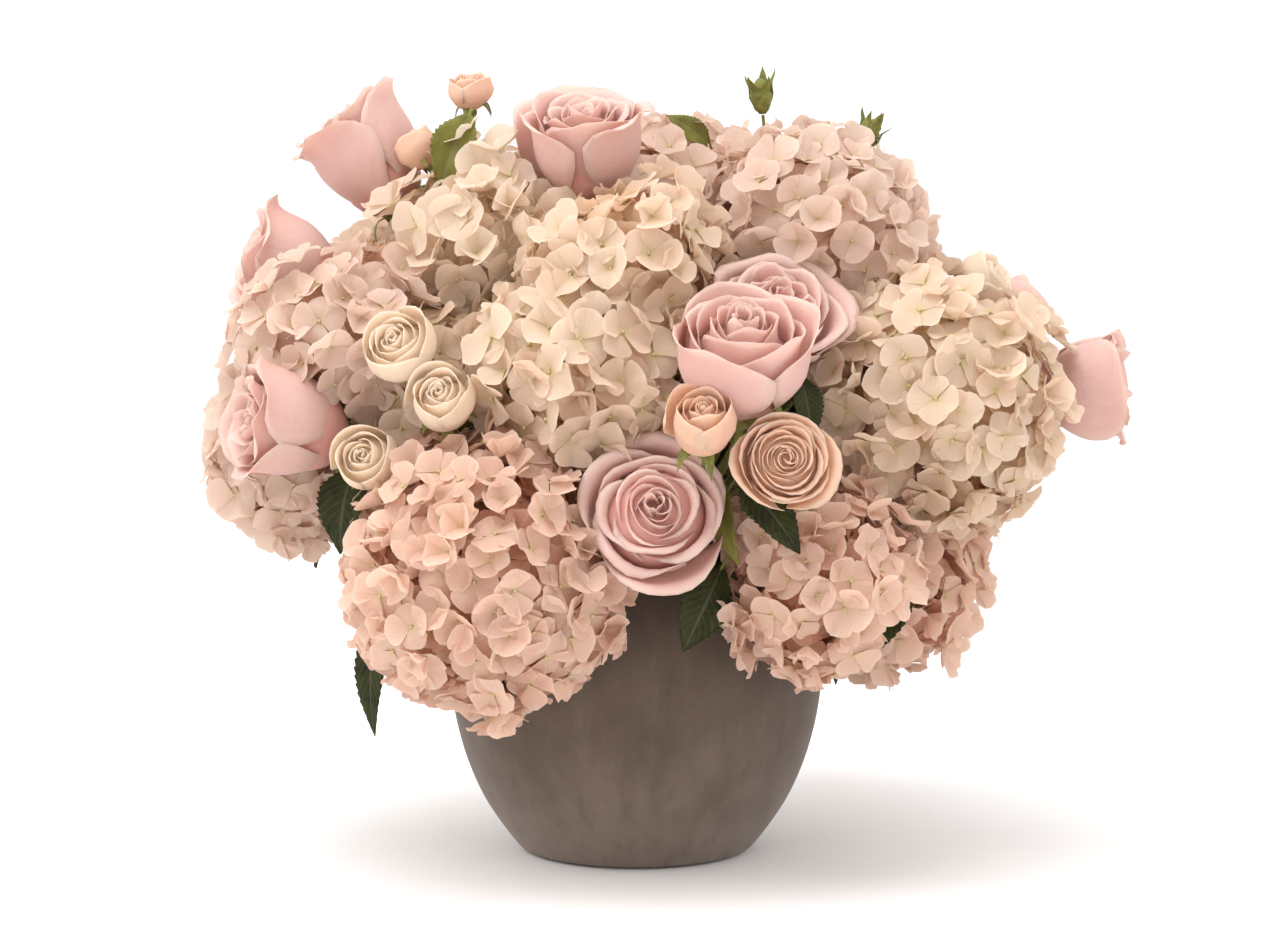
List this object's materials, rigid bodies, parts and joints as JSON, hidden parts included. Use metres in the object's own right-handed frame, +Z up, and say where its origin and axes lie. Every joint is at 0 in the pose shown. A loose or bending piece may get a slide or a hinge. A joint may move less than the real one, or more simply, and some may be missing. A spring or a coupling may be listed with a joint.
{
  "type": "floral centrepiece",
  "caption": "Low round bowl of wet floral foam filled with domed hydrangea heads, roses, spray roses, buds and leaves, made to stand on a table.",
  "frame": {"origin": "centre of the bowl's flat underside, on the table", "axes": "+Z up out of the bowl's mouth; +X towards the arrangement's right as seen from the front; the front faces -Y"},
  "size_m": [0.5672, 0.4889, 0.4852],
  "materials": {
    "stoneware": "matt, unglazed, warm grey",
    "foam": "matt, wet",
    "hydrangea_cream": "soft, slightly translucent petals",
    "hydrangea_blush": "soft, slightly translucent petals",
    "hydrangea_peach": "soft, slightly translucent petals",
    "rose_petal": "velvety, slightly translucent petals",
    "spray_cream": "velvety, slightly translucent petals",
    "spray_peach": "velvety, slightly translucent petals",
    "stem": "satin",
    "bud": "satin",
    "leaf": "satin, veined"
  },
  "bodies": {
    "root": {"bowl": "stoneware", "floral_foam": "foam", "hydrangea_back_centre": "hydrangea_peach", "hydrangea_back_left": "hydrangea_cream", "hydrangea_back_right": "hydrangea_blush", "hydrangea_centre_high": "hydrangea_cream", "hydrangea_centre_low": "hydrangea_cream", "hydrangea_crown": "hydrangea_blush", "hydrangea_far_left": "hydrangea_blush", "hydrangea_far_low_right": "hydrangea_peach", "hydrangea_front_left": "hydrangea_peach", "hydrangea_inner_left": "hydrangea_cream", "hydrangea_left": "hydrangea_blush", "hydrangea_low_back_left": "hydrangea_peach", "hydrangea_low_back_right": "hydrangea_cream", "hydrangea_low_right": "hydrangea_peach", "hydrangea_right": "hydrangea_cream", "hydrangea_top_right": "hydrangea_blush", "hydrangea_upper_left": "hydrangea_cream", "leaf_back_left": "leaf", "leaf_back_right": "leaf", "leaf_behind_rose": "leaf", "leaf_centre": "leaf", "leaf_centre_curled": "leaf", "leaf_front": "leaf", "leaf_left": "leaf", "leaf_left_drooping": "leaf", "leaf_right_low": "leaf", "leaf_rim_right": "leaf", "leaf_top": "leaf", "leaf_top_left": "leaf", "rose_back_left": "rose_petal", "rose_back_right": "rose_petal", "rose_centre": "rose_petal", "rose_centre_back": "rose_petal", "rose_left_lower": "rose_petal", "rose_left_upper": "rose_petal", "rose_low_centre": "rose_petal", "rose_right": "rose_petal", "rose_right_back": "rose_petal", "rose_top": "rose_petal", "rose_top_left": "rose_petal", "spray_bloom_cream_lower": "spray_cream", "spray_bloom_cream_middle": "spray_cream", "spray_bloom_cream_right": "spray_cream", "spray_bloom_cream_upper": "spray_cream", "spray_bloom_peach_back": "spray_peach", "spray_bloom_peach_behind_leaf": "spray_peach", "spray_bloom_peach_bud_shaped": "spray_peach", "spray_bloom_peach_left_high": "spray_peach", "spray_bloom_peach_open": "spray_peach", "spray_bloom_peach_top": "spray_peach", "spray_green_bud_inner": "bud", "spray_green_bud_outer": "bud", "spray_stalk_back": "stem", "spray_stalk_buds": "stem", "spray_stalk_cream_left": "stem", "spray_stalk_peach_centre": "stem", "spray_stalk_right": "stem", "spray_stalk_top_left": "stem"}
  },
  "joints": []
}
